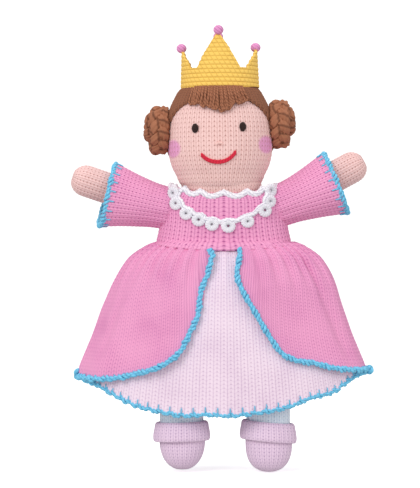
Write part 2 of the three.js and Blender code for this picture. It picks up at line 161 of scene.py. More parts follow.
def gridPiece(name, columns, rows, place, uvSize=(1, 1), relief=None, outward=1):
    # a grid laid out by place(u, v), then raised by relief(u, v) along its own normal
    deselectAll()
    bpy.ops.mesh.primitive_grid_add(x_subdivisions=columns, y_subdivisions=rows, size=1)
    piece = bpy.context.object
    piece.name = piece.data.name = name
    mesh = piece.data
    flat = np.empty(len(mesh.vertices) * 3)
    mesh.vertices.foreach_get("co", flat)
    u, v = flat[0::3] + 0.5, flat[1::3] + 0.5
    spot = np.stack(place(u, v), 1)
    if relief is not None:
        e = 1e-3
        du = np.stack(place(u + e, v), 1) - np.stack(place(u - e, v), 1)
        dv = np.stack(place(u, np.minimum(v + e, 1)), 1) - np.stack(place(u, np.maximum(v - e, 0)), 1)
        normal = np.cross(du, dv) * outward
        size = np.linalg.norm(normal, axis=1, keepdims=True)
        normal = np.where(size > 1e-14, normal / np.maximum(size, 1e-14), 0)
        spot = spot + normal * relief(u, v)[:, None]
    corner = np.empty(len(mesh.loops), np.int32)
    mesh.loops.foreach_get("vertex_index", corner)
    uv = np.stack([u[corner] * uvSize[0], v[corner] * uvSize[1]], 1)
    mesh.uv_layers.active.data.foreach_set("uv", uv.ravel())
    mesh.vertices.foreach_set("co", spot.ravel())
    mesh.update()
    editMesh(bpy.ops.mesh.remove_doubles, threshold=weldReach)
    editMesh(bpy.ops.mesh.normals_make_consistent, inside=False)
    return piece


def applyModifier(piece, kind, settings):
    setActive(piece)
    bpy.ops.object.modifier_add(type=kind)
    modifier = piece.modifiers[-1]
    for key, value in settings.items():
        setattr(modifier, key, value)
    bpy.ops.object.modifier_apply(modifier=modifier.name)


def thicken(piece, wall):
    applyModifier(piece, "SOLIDIFY", {"thickness": wall, "offset": -1})


def joinPieces(name, pieces):
    deselectAll()
    for piece in pieces:
        piece.select_set(True)
    bpy.context.view_layer.objects.active = pieces[0]
    if len(pieces) > 1:
        bpy.ops.object.join()
    pieces[0].name = pieces[0].data.name = name
    return pieces[0]


def framesAlong(path, closed=False):
    # side and up directions that turn as little as possible along the path
    tangent = np.gradient(path, axis=0)
    if closed:
        tangent[0] = tangent[-1] = path[1] - path[-2]
    tangent /= np.maximum(np.linalg.norm(tangent, axis=1, keepdims=True), 1e-12)
    side = np.empty_like(path)
    first = np.cross(tangent[0], [0.13, 0.21, 1.0])
    side[0] = first / np.linalg.norm(first)
    for i in range(1, len(path)):
        s = side[i - 1] - tangent[i] * (side[i - 1] @ tangent[i])
        side[i] = s / np.linalg.norm(s)
    up = np.cross(tangent, side)
    if closed:
        turn = math.atan2(side[-1] @ up[0], side[-1] @ side[0])
        angle = -turn * np.linspace(0, 1, len(path))[:, None]
        side, up = side * np.cos(angle) + up * np.sin(angle), up * np.cos(angle) - side * np.sin(angle)
    return side, up


def yarnTube(name, path, radius, sides=8, closed=False, pitch=3 * mm, ridges=0, ridgeDepth=0.0):
    # a strand of yarn along a path; open ends are rounded off
    path = np.array(path, float)
    side, up = framesAlong(path, closed)
    steps = np.linspace(0, 1, len(path))
    length = pathLength(path)
    reach = np.full(len(path), 1.0)
    if not closed:
        near = np.minimum(steps, 1 - steps) * length / radius
        reach = np.sqrt(np.clip(1 - (1 - np.clip(near, 0, 1)) ** 2, 0, 1))

    def place(u, v):
        angle = tau * u
        pick = lambda table: np.stack([np.interp(v, steps, table[:, k]) for k in range(3)])
        twist = 1 + ridgeDepth * np.cos(ridges * angle - tau * v * length / pitch) if ridges else 1.0
        r = radius * np.interp(v, steps, reach) * twist
        spot = pick(path) + pick(side) * (r * np.cos(angle)) + pick(up) * (r * np.sin(angle))
        return spot[0], spot[1], spot[2]
    return gridPiece(name, sides, len(path) - 1, place, (1, length / pitch))


smoothStep = {"interpolation_type": "SMOOTHSTEP"}
times = {"operation": "MULTIPLY"}
timesPlus = {"operation": "MULTIPLY_ADD"}
foldBack = {"operation": "PINGPONG"}
larger = {"operation": "MAXIMUM"}


def hexToLinear(code):
    parts = [int(code[i:i + 2], 16) / 255 for i in (1, 3, 5)]
    return tuple(p / 12.92 if p <= 0.04045 else ((p + 0.055) / 1.055) ** 2.4 for p in parts) + (1.0,)


def addNode(tree, kind, settings=None, links=None):
    # links holds values or other nodes' outputs by input name or number
    node = tree.nodes.new("ShaderNode" + kind)
    for key, value in (settings or {}).items():
        setattr(node, key, value)
    for key, value in (links or {}).items():
        if isinstance(value, bpy.types.Node):
            value = value.outputs[0]
        if isinstance(value, bpy.types.NodeSocket):
            tree.links.new(value, node.inputs[key])
        else:
            node.inputs[key].default_value = value
    return node


def newMaterial(name, roughness, sheen, sheenTint):
    # a fuzzy cotton surface: dull, with a soft pale halo at grazing angles
    material = bpy.data.materials.new(name)
    material.use_nodes = True
    tree = material.node_tree
    shader = tree.nodes["Principled BSDF"]
    cotton = {"Roughness": roughness, "IOR": 1.5, "Specular IOR Level": 0.25, "Sheen Weight": sheen,
              "Sheen Roughness": 0.5, "Sheen Tint": hexToLinear(sheenTint)}
    for key, value in cotton.items():
        shader.inputs[key].default_value = value
    return material, tree, shader


def finishSurface(tree, shader, colour, shade, paintedShade, height, bumpSize, mottle=0.5):
    # shared end of every yarn material: fibre fuzz, random darker blotches and the painted shade passed in, then
    # bump
    place = addNode(tree, "TexCoord").outputs["Object"]
    fuzz = addNode(tree, "TexNoise", None, {"Vector": place, "Scale": 1400.0, "Detail": 2.0})
    uneven = addNode(tree, "TexNoise", None, {"Vector": place, "Scale": 34.0, "Detail": 3.0})
    fuzzy = addNode(tree, "Math", timesPlus, {0: fuzz, 1: 0.34, 2: -0.17})
    blotches = addNode(tree, "Math", timesPlus, {0: uneven, 1: mottle, 2: -0.5 * mottle})
    both = addNode(tree, "Math", {"operation": "ADD"}, {0: fuzzy, 1: blotches})
    # painted shade from the stitch gaps and grooves, plus fuzz and blotches, sets how far the colour goes towards
    # the shade colour
    amount = addNode(tree, "Math", {"operation": "ADD", "use_clamp": True}, {0: paintedShade, 1: both})
    base = hexToLinear(colour) if isinstance(colour, str) else colour
    mix = addNode(tree, "Mix", {"data_type": "RGBA"}, {"Factor": amount, 6: base, 7: hexToLinear(shade)})
    tree.links.new(mix.outputs[2], shader.inputs["Base Color"])
    rough = addNode(tree, "Math", timesPlus, {0: fuzz, 1: 0.3, 2: height})
    bump = addNode(tree, "Bump", None, {"Strength": 0.7, "Distance": bumpSize, "Height": rough})
    tree.links.new(bump.outputs[0], shader.inputs["Normal"])


def knitMaterial(name, colour, shade, gapShade, rowShade, sheenTint="#ffffff", blush=None, mottle=0.5):
    # stocking stitch: each wale is a column of V shapes; painted shade darkens the gap between wales at every row,
    # and more faintly the rest of each gap, the row lines and the crease down the middle of each wale
    material, tree, shader = newMaterial(name, 0.88, 0.15, sheenTint)
    stitches = addNode(tree, "UVMap", {"uv_map": "UVMap"})
    split = addNode(tree, "SeparateXYZ", None, {0: stitches})
    wale = addNode(tree, "Math", foldBack, {0: split.outputs[0], 1: 0.5})
    across = addNode(tree, "Math", times, {0: wale, 1: 2.0})  # 0 at the gap, 1 mid-wale
    lean = addNode(tree, "Math", timesPlus, {0: across, 1: 0.5, 2: split.outputs[1]})
    leg = addNode(tree, "Math", foldBack, {0: lean, 1: 0.5})
    # painted shade masks: the gap between wales, the crease mid-wale and the row line
    gap = addNode(tree, "MapRange", smoothStep,
                  {"Value": across, "From Min": 0.42, "From Max": 0.0})
    crease = addNode(tree, "MapRange", smoothStep,
                     {"Value": across, "From Min": 0.72, "From Max": 1.0, "To Max": 0.8})
    row = addNode(tree, "MapRange", smoothStep,
                  {"Value": leg, "From Min": 0.2, "From Max": 0.0})
    hole = addNode(tree, "Math", times, {0: gap, 1: row})
    lines = addNode(tree, "Math", timesPlus, {0: row, 1: rowShade, 2: crease.outputs[0]})
    soft = addNode(tree, "Math", times, {0: lines, 1: 0.5})
    gaps = addNode(tree, "Math", timesPlus, {0: gap, 1: gapShade * 0.5, 2: soft})
    # painted shade: how far each spot of the stitch is darkened towards the shade colour
    paintedShade = addNode(tree, "Math", timesPlus, {0: hole, 1: gapShade, 2: gaps})
    height = addNode(tree, "Math", times, {0: paintedShade, 1: -1.0})
    base = colour
    if blush:  # soft round patches of another shade, sewn or rubbed on
        place = addNode(tree, "TexCoord").outputs["Object"]
        total = None
        for centre in blush["centres"]:
            away = addNode(tree, "VectorMath", {"operation": "SUBTRACT"}, {0: place, 1: centre})
            scaled = addNode(tree, "VectorMath", {"operation": "DIVIDE"}, {0: away, 1: blush["radii"]})
            far = addNode(tree, "VectorMath", {"operation": "LENGTH"}, {0: scaled})
            spot = addNode(tree, "MapRange", smoothStep,
                           {"Value": far.outputs["Value"], "From Min": 1.12, "From Max": 0.72, "To Max": 0.85})
            if total:
                spot = addNode(tree, "Math", larger, {0: total, 1: spot})
            total = spot
        blend = addNode(tree, "Mix", {"data_type": "RGBA"},
                        {"Factor": total, 6: hexToLinear(colour), 7: hexToLinear(blush["colour"])})
        base = blend.outputs[2]
    finishSurface(tree, shader, base, shade, paintedShade, height, 0.5 * mm, mottle)
    return material


def yarnMaterial(name, colour, shade, paintedShade, plies=2.0, sheen=0.12, sheenTint="#ffffff", mottle=0.5):
    # plied yarn: slanting grooves between the plies, once round the strand for each pitch along it, darkened with
    # painted shade
    material, tree, shader = newMaterial(name, 0.86, sheen, sheenTint)
    strand = addNode(tree, "UVMap", {"uv_map": "UVMap"})
    split = addNode(tree, "SeparateXYZ", None, {0: strand})
    turn = addNode(tree, "Math", timesPlus, {0: split.outputs[0], 1: plies, 2: split.outputs[1]})
    ply = addNode(tree, "Math", foldBack, {0: turn, 1: 0.5})
    groove = addNode(tree, "MapRange", smoothStep,
                     # painted shade in the grooves between the plies
                     {"Value": ply, "From Min": 0.22, "From Max": 0.0, "To Max": paintedShade})
    height = addNode(tree, "Math", times, {0: groove, 1: -1.0})
    finishSurface(tree, shader, colour, shade, groove, height, 0.4 * mm, mottle)
    return material


def crochetMaterial(name, colour, shade):
    # double crochet worked in level rows: a painted shadow line under each row, small slanting stitches along it
    # with painted shade between them
    material, tree, shader = newMaterial(name, 0.84, 0.15, "#fff0b0")
    rows = addNode(tree, "UVMap", {"uv_map": "UVMap"})
    split = addNode(tree, "SeparateXYZ", None, {0: rows})
    tall = addNode(tree, "Math", foldBack, {0: split.outputs[1], 1: 0.5})
    line = addNode(tree, "MapRange", smoothStep,
                   {"Value": tall, "From Min": 0.2, "From Max": 0.0, "To Max": 0.5})
    slant = addNode(tree, "Math", timesPlus, {0: split.outputs[1], 1: 0.5, 2: split.outputs[0]})
    stitchSide = addNode(tree, "Math", foldBack, {0: slant, 1: 0.5})
    notch = addNode(tree, "MapRange", smoothStep,
                    {"Value": stitchSide, "From Min": 0.22, "From Max": 0.0, "To Max": 0.4})
    # painted shade: the darker of the row line and the stitch notch
    paintedShade = addNode(tree, "Math", larger, {0: line, 1: notch})
    height = addNode(tree, "Math", times, {0: paintedShade, 1: -1.0})
    finishSurface(tree, shader, colour, shade, paintedShade, height, 0.6 * mm)
    return material


def knitRelief(stitches, rows, depth):
    # columns of V shapes, raised along the surface
    def relief(u, v):
        across = np.abs((u * stitches) % 1 - 0.5) * 2
        rib = 1 - across ** 3
        leg = np.cos(tau * (v * rows - 0.5 * across))
        return depth * (rib * 0.75 + rib * leg * 0.25 - 0.15 * np.exp(-(across / 0.18) ** 2))
    return relief


def knitPiece(name, size, place, outward=1):
    # knitted cloth laid out by place(u, v), with its wales and rows in its mesh and its UVs
    wales, rows = size["wales"], size["rows"]
    finerAcross, finerUp = size.get("finer", (5, 3))
    relief = knitRelief(wales, rows, size["relief"])
    piece = gridPiece(name, wales * finerAcross, rows * finerUp, place, (wales, rows), relief, outward)
    if "wall" in size:
        thicken(piece, size["wall"])
    return piece


def finishPiece(piece, material, body, replaced):
    piece.data.materials.clear()
    piece.data.materials.append(material)
    setActive(piece)
    bpy.ops.object.shade_smooth()
    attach(piece, body)
    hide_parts(*replaced)


camera = {"lens": 150, "place": (-0.011, -1.637, 0.1393)}
bpy.ops.object.camera_add(location=camera["place"], rotation=(math.pi / 2, 0, 0))
bpy.context.object.data.lens = camera["lens"]
bpy.context.scene.camera = bpy.context.object
bpy.context.scene.view_settings.view_transform = "Standard"

studio = {"floor": cadBox[0].z - 0.4 * mm, "radius": 4.0, "bend": 1.2, "tall": 3.5, "glow": 0.5}


def placeSweep(u, v):
    # round floor, a wide bend, then a wall all the way round
    flat, arc = studio["radius"], math.pi / 2 * studio["bend"]
    s = v * (flat + arc + studio["tall"])
    turn = np.clip((s - flat) / studio["bend"], 0, math.pi / 2)
    r = np.minimum(s, flat) + studio["bend"] * np.sin(turn)
    z = studio["floor"] + studio["bend"] * (1 - np.cos(turn)) + np.maximum(s - flat - arc, 0)
    return r * np.cos(tau * u), r * np.sin(tau * u), z


backdrop = gridPiece("paper_sweep", 48, 60, placeSweep)
paper, _, paperShader = newMaterial("whiteSeamlessPaper", 0.95, 0.0, "#ffffff")
paperShader.inputs["Base Color"].default_value = hexToLinear("#f4f4f4")
paperShader.inputs["Emission Color"].default_value = hexToLinear("#ffffff")
paperShader.inputs["Emission Strength"].default_value = studio["glow"]
backdrop.data.materials.append(paper)
setActive(backdrop)
editMesh(bpy.ops.mesh.normals_make_consistent, inside=True)
bpy.ops.object.shade_smooth()
backdrop.visible_diffuse = False  # it shows white without flooding the puppet with light
backdrop.visible_glossy = False

lamps = {
    "key": {"place": (-1.1, -1.9, 1.5), "size": 1.3, "power": 27},
    "fill": {"place": (1.5, -1.7, 0.9), "size": 1.6, "power": 7.5},
    "top": {"place": (0.0, 0.3, 1.9), "size": 1.4, "power": 8.5},
}
for lampName, lamp in lamps.items():
    direction = Vector((0, 0, 0.12)) - Vector(lamp["place"])
    aim = direction.to_track_quat("-Z", "Y").to_euler()
    bpy.ops.object.light_add(type="AREA", location=lamp["place"], rotation=aim)
    bpy.context.object.name = lampName
    bpy.context.object.data.energy = lamp["power"]
    bpy.context.object.data.size = lamp["size"]
world = bpy.data.worlds.new("studioAir")
bpy.context.scene.world = world
world.use_nodes = True
world.node_tree.nodes["Background"].inputs[0].default_value = hexToLinear("#ffffff")
world.node_tree.nodes["Background"].inputs[1].default_value = 0.68
print("camera, light and floor done")


headPose = {"x": -2.6 * mm, "z": 186 * mm, "lean": math.radians(0.8)}


def onHead(x, y, z):
    # from the head's own axes, which lean a little, to the puppet's
    c, s = math.cos(headPose["lean"]), math.sin(headPose["lean"])
    return headPose["x"] + x * c - z * s, y, headPose["z"] + z * c + x * s


cheekSpots = [onHead(-37.0 * mm, -14 * mm, 29.6 * mm), onHead(36.0 * mm, -14 * mm, 32.0 * mm)]
pinkKnit = knitMaterial("roseCottonStockinette", "#f3a6cc", "#b04f90", 0.7, 0.4, "#ffd0ee")
skirtKnit = knitMaterial("roseCottonSkirtStockinette", "#f1a4cb", "#b5509a", 0.4, 0.4, "#ffd0ee", mottle=0.75)
paleKnit = knitMaterial("palePinkCottonStockinette", "#f6e0ee", "#bf98bf", 0.34, 0.35, mottle=0.7)
bootKnit = knitMaterial("lilacPinkCottonStockinette", "#efd4e9", "#ad84b2", 0.6, 0.35)
stockingKnit = knitMaterial("iceBlueCottonStockinette", "#eef6ff", "#a5b9d6", 0.55, 0.3)
skinKnit = knitMaterial("peachCottonStockinette", "#f7d0cb", "#b4786f", 0.55, 0.35,
                        blush={"centres": cheekSpots, "radii": (7.0 * mm, 20 * mm, 7.6 * mm), "colour": "#ea9bd0"})
handKnit = knitMaterial("peachCottonHand", "#f5cecb", "#b4786f", 0.66, 0.35)
hairKnit = knitMaterial("chestnutWoolStockinette", "#925e46", "#43241a", 0.6, 0.4, "#e0b090")
hairYarn = yarnMaterial("chestnutWoolYarn", "#a66c50", "#4d2a1d", 0.7, sheenTint="#e0b090")
goldCrochet = crochetMaterial("goldenCottonCrochet", "#fcd069", "#c88f2a")
orchidYarn = yarnMaterial("orchidCottonYarn", "#e79acb", "#a4508c", 0.6, sheenTint="#ffd8f4")
blueCrochet = yarnMaterial("skyBlueCrochetCotton", "#7acdee", "#4797b8", 0.55)
laceCrochet = yarnMaterial("whiteCrochetCotton", "#f8f6fb", "#aaa3bb", 0.55)
blackYarn = yarnMaterial("blackEmbroideryCotton", "#33211f", "#0d0708", 0.6, sheen=0.1)
redYarn = yarnMaterial("scarletEmbroideryCotton", "#dc2a44", "#84101f", 0.6, sheen=0.1)
noseYarn = yarnMaterial("rosyBeigeYarn", "#f3c8c1", "#c08a80", 0.35)
fibreFill = yarnMaterial("whitePolyesterFibre", "#f4f2ec", "#c9c5bb", 0.0, 0.0, mottle=0.8)
kraftCard = yarnMaterial("rolledKraftCard", "#c9ad85", "#8e744f", 0.25, 0.0, sheen=0.0)
print("yarns done")


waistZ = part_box("underskirt")[1].z
edging = {"strand": 1.3 * mm, "turn": 7.0 * mm, "bites": 74, "overBites": 64, "reach": 0.9 * mm}
underskirtSize = {"wales": 124, "rows": 44, "finer": (4, 2), "relief": 0.42 * mm, "wall": 2.2 * mm,
                  "waistHalf": 52.5 * mm, "hemHalf": 113.5 * mm, "waistDepth": 0.46, "hemDepth": 0.35}
bell = smoothCurve([0, 0.3, 0.6, 0.8, 0.93, 1], [1, 0.87, 0.7, 0.52, 0.3, 0])


def skirtRing(angle, halfWidth, ratio, inset=0.0):
    return (halfWidth + inset) * np.sin(angle), -(halfWidth * ratio + inset) * np.cos(angle)


def gathers(angle, below, depth):
    # small pleats under the waist that melt into a few soft folds lower down
    pleats = np.cos(38 * angle + 0.8 * np.sin(5 * angle)) * np.exp(-((below - 9 * mm) / (24 * mm)) ** 2)
    folds = np.cos(9 * angle + 1.2 * np.sin(2 * angle + 0.5)) * fade(below / (55 * mm))
    return depth * (0.75 * pleats + 0.9 * folds * (0.45 + 0.55 * np.abs(np.sin(angle))))


# heights of the underskirt's hem from the puppet's right side to its left
hemSpots = [-1, -0.92, -0.77, -0.6, -0.45, -0.29, -0.13, 0.06, 0.18, 0.36, 0.46, 0.6, 0.8, 0.88, 0.94, 1]
hemRises = [31, 28.5, 19.5, 11.4, 7.4, 4.6, 5.4, 4.4, 6.0, 8.8, 11.4, 17.5, 23.8, 30.4, 34.6, 36.6]
hemHeights = smoothCurve(hemSpots, np.array(hemRises) * mm)


def sideFolds(angle, below):
    # one long crease down each side of the overskirt's front, deeper on the puppet's left
    right = 2.8 * mm * np.exp(-((angle + 1.04 + 0.6 * below) / 0.085) ** 2)
    left = 4.0 * mm * np.exp(-((angle - 0.96 - 1.6 * below) / 0.1) ** 2)
    swell = 1.6 * mm * np.exp(-((angle - 1.18 - 1.6 * below) / 0.16) ** 2)
    return (swell - right - left) * fade(below / (22 * mm)) * fade((112 * mm - below) / (40 * mm))


def underskirtPlace(u, v):
    angle = tau * (u - 0.5)  # 0 at the middle of the front, rising to the puppet's left
    hem = hemHeights(np.sin(angle))
    z = lerp(hem, waistZ, v)
    half = lerp(underskirtSize["waistHalf"], underskirtSize["hemHalf"], bell(v))
    half = half - 8 * mm * fade((z - 36 * mm) / (30 * mm)) * np.sin(angle) ** 2
    ratio = lerp(underskirtSize["hemDepth"], underskirtSize["waistDepth"], v)
    # each edging stitch draws the hem in and up a little
    notch = np.exp(-(((u * edging["bites"]) % 1 - 0.5) / 0.2) ** 2)
    inset = gathers(angle, waistZ - z, 0.7 * mm) - 1.5 * mm * notch * np.exp(-(v / 0.035) ** 2)
    inset = inset - 2.2 * mm * np.exp(-((waistZ - z - 13 * mm) / (13 * mm)) ** 2)
    x, y = skirtRing(angle, half, ratio, inset + 0.5 * mm * np.exp(-(v / 0.03) ** 2))
    return x, y, z + 0.9 * mm * notch * np.exp(-(v / 0.02) ** 2)


underskirt = knitPiece("underskirt_cloth", underskirtSize, underskirtPlace)
finishPiece(underskirt, paleKnit, "torso", ["underskirt"])

overskirtSize = {"wales": 132, "rows": 36, "finer": (4, 2), "relief": 0.5 * mm, "wall": 2.2 * mm,
                 "waistHalf": 55.5 * mm, "waistOpen": 11 * mm, "lift": 3.4 * mm}
overWidth = curveInMm([18, 39, 52, 65, 91, 110, 123, 130, 136, 139.5, 141.5],
                      [115, 115, 110, 104.5, 95, 86.5, 78.5, 73, 66.5, 61, 55])
frontEdges = {  # where each front edge runs, from the waist down and out to the side corner
    "right": [[11, 128], [12, 117], [16.4, 107], [18.6, 92], [21.5, 80], [27, 69], [33, 56], [42, 47.5],
              [53, 41.5], [68, 37.4], [88, 33], [103, 32.4], [114.9, 32.6]],
    "left": [[8.6, 128], [8.4, 119], [13.2, 105], [24.4, 84.5], [35.5, 66], [47, 52], [59, 47.2], [72, 45.2],
             [83, 41.8], [99, 39.4], [114.9, 38.6]],
}
edgeTables = {}
for side, edge in frontEdges.items():
    path = turnedProfile(edge, 120)
    edgeTables[side] = (np.maximum.accumulate(path[:, 0] / overWidth(path[:, 2])), path[:, 2])


def overskirtHem(angle, sign):
    # height of the lower edge: the front panel's curve, then the back hem
    share = np.abs(np.sin(angle))
    right, left = (np.interp(share, *edgeTables[side]) for side in ("right", "left"))
    front = np.where(sign < 0, right, left)
    back = lerp(22 * mm, np.where(sign < 0, 32.6, 38.6) * mm, share ** 2.4)
    return np.where(np.cos(angle) > 0, front, back)


waistOpen = math.asin(overskirtSize["waistOpen"] / overskirtSize["waistHalf"])
hemOpen = math.asin(edgeTables["left"][0][0])


def evenAngles(first, halfWidth, depth):
    # angles from the front opening round to the middle of the back, evenly spaced along the ring
    fine = np.linspace(first, math.pi, 400)
    x, y = halfWidth * np.sin(fine), depth * np.cos(fine)
    along = np.r_[0, np.cumsum(np.hypot(np.diff(x), np.diff(y)))]
    return lambda q: np.interp(q, along / along[-1], fine)


hemAngle = evenAngles(hemOpen, 105 * mm, 40 * mm)
waistAngle = evenAngles(waistOpen, 60 * mm, 34 * mm)


def overskirtPlace(u, v):
    sign = np.where(u < 0.5, -1.0, 1.0)  # the puppet's right panel first, then round the back to its left
    q = np.clip(np.where(u < 0.5, 2 * u, 2 - 2 * u), 0, 1)
    low = overskirtHem(hemAngle(q), sign)
    angle = lerp(hemAngle(q), waistAngle(q), fade(v) * 0.7 + 0.3 * v)
    z = lerp(low, waistZ, v)
    half = overWidth(z)
    ratio = lerp(0.37, 0.47, np.clip((z - 30 * mm) / (110 * mm), 0, 1))
    signed = sign * angle
    below = waistZ - z
    lift = (overskirtSize["lift"] * fade(below / (14 * mm)) + gathers(signed + 0.4, below, 2.3 * mm) * fade(q / 0.07)
            + sideFolds(signed, below) + 2.6 * mm * np.clip(np.sin(signed), 0, 1) * fade((z - 84 * mm) / (30 * mm)))
    x, y = skirtRing(signed, half - overskirtSize["lift"], ratio, lift)
    return x, y, z


overskirt = knitPiece("overskirt_cloth", overskirtSize, overskirtPlace, -1)
finishPiece(overskirt, skirtKnit, "torso", ["overskirt"])
print("skirts done")


def chainEdging(name, path, closed, strand=edging["strand"], turn=edging["turn"], lift=1.2 * mm, wander=0.0):
    # two strands wound round each other, as a crochet chain shows from its edge
    length = pathLength(path)
    count = int(length / (0.62 * mm))
    even = smoothPath(path, count, closed)
    t = np.linspace(0, 1, count)[:, None]
    if closed:
        even[-1] = even[0]
    side, up = framesAlong(even, closed)
    bends = round(length / (9 * mm))
    ripple = np.sin(tau * round(1.7 * bends) * t + 1)
    drift = wander * (np.sin(tau * bends * t + 2 * np.sin(4 * math.pi * t)) + 0.6 * ripple)
    fat = 1 + (0.3 * np.sin(tau * round(0.6 * bends) * t) if wander else 0)
    even = even + up * drift
    angle = tau * round(length / turn) * t
    strands = []
    for k in range(2):
        phase = angle + math.pi * k
        wave = even + (side * np.cos(phase) + up * np.sin(phase)) * lift * fat
        strands.append(yarnTube(name + str(k), wave, strand, 7, closed))
    return joinPieces(name, strands)


def hemPath(place, level, count, lower=0.0, out=0.0):
    u = np.linspace(0, 1, count)
    x, y, z = place(u, np.full(count, level))
    grow = 1 + out / np.maximum(np.hypot(x, y), 1e-6)
    return np.stack([x * grow, y * grow, z - lower], 1)


def pullStitches(name, place, spots, tall):
    # short yarn stitches that bite up into the cloth from its edge
    made = []
    for i, u in enumerate(spots):
        level = np.linspace(0, 1, 7)
        x, y, z = place(np.full(7, u), level * tall)
        grow = 1 + (edging["reach"] + 0.5 * mm * np.sin(math.pi * level)) / np.hypot(x, y)
        made.append(yarnTube(name + str(i), np.stack([x * grow, y * grow, z], 1), 0.5 * mm, 6))
    return made


hemLoop = hemPath(underskirtPlace, 0.0, 240, 0.4 * mm, -0.8 * mm)[:-1]
spots = (np.arange(edging["bites"]) + 0.5) / edging["bites"]
underEdge = chainEdging("underskirt_edging_chain", hemLoop, True, 1.15 * mm, 6.2 * mm, 1.0 * mm, 0.35 * mm)
underSpikes = pullStitches("underskirt_spike", underskirtPlace, spots, 0.045)
underEdge = joinPieces("underskirt_blanket_edging", [underEdge, *underSpikes])
finishPiece(underEdge, blueCrochet, "torso", ["underskirt_edging"])


def openingEdge(u):
    # up one side of the front opening, as far as the bodice's lower edge
    low = float(overskirtPlace(np.array([u]), np.array([0.0]))[2][0])
    reach = (waistZ - 5.2 * mm - low) / (waistZ - low)
    return np.stack(overskirtPlace(np.full(12, u), np.linspace(0, reach, 12)), 1)


startEdge, endEdge = openingEdge(0.0)[::-1], openingEdge(1.0)
roundHem = hemPath(overskirtPlace, 0.0, 420)
edgePath = np.vstack([startEdge[:-1], roundHem, endEdge[1:]])
edgePath[:, :2] *= 1 + (0.9 * mm / np.maximum(np.hypot(edgePath[:, 0], edgePath[:, 1]), 1e-6))[:, None]
edgePath = smoothPath(np.vstack([edgePath[:-1:3], edgePath[-1:]]), 400)
overEdge = chainEdging("overskirt_edging_chain", edgePath, False, wander=0.6 * mm)
spots = (np.arange(edging["overBites"]) + 0.5) / edging["overBites"]
overSpikes = pullStitches("overskirt_spike", overskirtPlace, spots, 0.03)
corners = []
for sign in (-1, 1):  # a small looped knot where each front edge meets the back hem
    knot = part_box("overskirt_edging")[1].x * 0.953 * sign
    high = (35.4 if sign < 0 else 38.2) * mm
    ring = [[knot + 1.9 * mm * math.cos(a), 1.6 * mm * math.sin(2 * a), high + 2.2 * mm * math.sin(a)]
            for a in np.linspace(0, tau, 12, endpoint=False)]
    corners.append(yarnTube("corner_knot" + str(sign), smoothPath(ring, 40, True), 1.8 * mm, 8, True))
overEdge = joinPieces("overskirt_crochet_edging", [overEdge, *overSpikes, *corners])
finishPiece(overEdge, blueCrochet, "torso", ["overskirt_edging"])
print("skirt edgings done")


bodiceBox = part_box("bodice")
bodice = {"wales": 54, "rows": 15, "relief": 0.75 * mm, "thick": 2.2 * mm, "neck": bodiceBox[1].z,
          "waist": bodiceBox[0].z - 1.5 * mm, "dip": 6.5 * mm, "armhole": 15.6 * mm, "corners": 0.88}
bodiceWidth = curveInMm([138, 142, 148, 158, 168, 176, 181, 184, 186.5],
                        [54, 53.6, 52.2, 50.6, 50, 48.6, 46.2, 43.6, 40.6])
bodiceDepth = curveInMm([138, 142, 160, 174, 182, 186.5], [25, 25, 25.4, 25.2, 24, 22.5])


def roundedBox(angle, power):
    c, s = np.cos(angle), np.sin(angle)
    return np.sign(c) * np.abs(c) ** power, np.sign(s) * np.abs(s) ** power


def bodicePlace(u, v):
    # the lower edge dips at the front and spreads over the gathered skirts
    angle = tau * u - math.pi / 2
    c, s = roundedBox(angle, bodice["corners"])
    level = lerp(bodice["waist"] - 5.4 * mm * np.clip(-np.sin(angle), 0, 1) ** 2, bodice["neck"], v)
    dip = bodice["dip"] * np.sin(angle) ** 2 * fade((v - 0.7) / 0.3)
    below = overWidth(level) - overskirtSize["lift"]
    spread = overskirtSize["lift"] * fade((waistZ - level) / (14 * mm))
    spread = spread + 1.7 * mm - 2.4 * mm * np.exp(-(v / 0.055) ** 2)
    over = level < waistZ + 1 * mm
    half = np.where(over, np.maximum(bodiceWidth(level), below + spread), bodiceWidth(level))
    deep = np.where(over, np.maximum(bodiceDepth(level), below * 0.47 + spread), bodiceDepth(level))
    return half * c, deep * s, level - dip


bodicePiece = knitPiece("bodice_cloth", bodice, bodicePlace)
shoulders = {side: Vector(joint["pos_m"]) for side in ("right", "left")
             for joint in frame["joints"] if joint["name"] == side + "_arm_raise"}
setActive(bodicePiece)
for polygon in bodicePiece.data.polygons:
    polygon.select = any((polygon.center - spot).length < bodice["armhole"] for spot in shoulders.values())
for vertex in bodicePiece.data.vertices:
    vertex.select = False
for edge in bodicePiece.data.edges:
    edge.select = False
bpy.ops.object.mode_set(mode="EDIT")
bpy.ops.mesh.select_mode(type="FACE")
bpy.ops.mesh.delete(type="FACE")
bpy.ops.object.mode_set(mode="OBJECT")
thicken(bodicePiece, bodice["thick"])
finishPiece(bodicePiece, pinkKnit, "torso", ["bodice"])

collar = {"scallops": 16, "strand": 1.6 * mm, "wave": 3.6 * mm}


def neckline(angle, out, up):
    # a point just outside the neck edge; angle 0 is the puppet's left
    level = bodice["neck"]
    dip = bodice["dip"] * math.sin(angle) ** 2
    c, s = roundedBox(np.array(angle), bodice["corners"])
    return Vector(((bodiceWidth(level) + out) * c, (bodiceDepth(level) + out) * s, level - dip + up))


wavy = []
for i in range(collar["scallops"] * 12):
    angle = tau * i / (collar["scallops"] * 12)
    wave = abs(math.sin(collar["scallops"] * angle / 2))
    wavy.append(neckline(angle, 0.8 * mm + 0.8 * mm * wave, 0.9 * mm - collar["wave"] * wave))
collarPiece = chainEdging("lace_collar_chain", np.array(wavy), True, collar["strand"], 5.2 * mm, 1.15 * mm)
finishPiece(collarPiece, laceCrochet, "torso", ["lace_collar"])

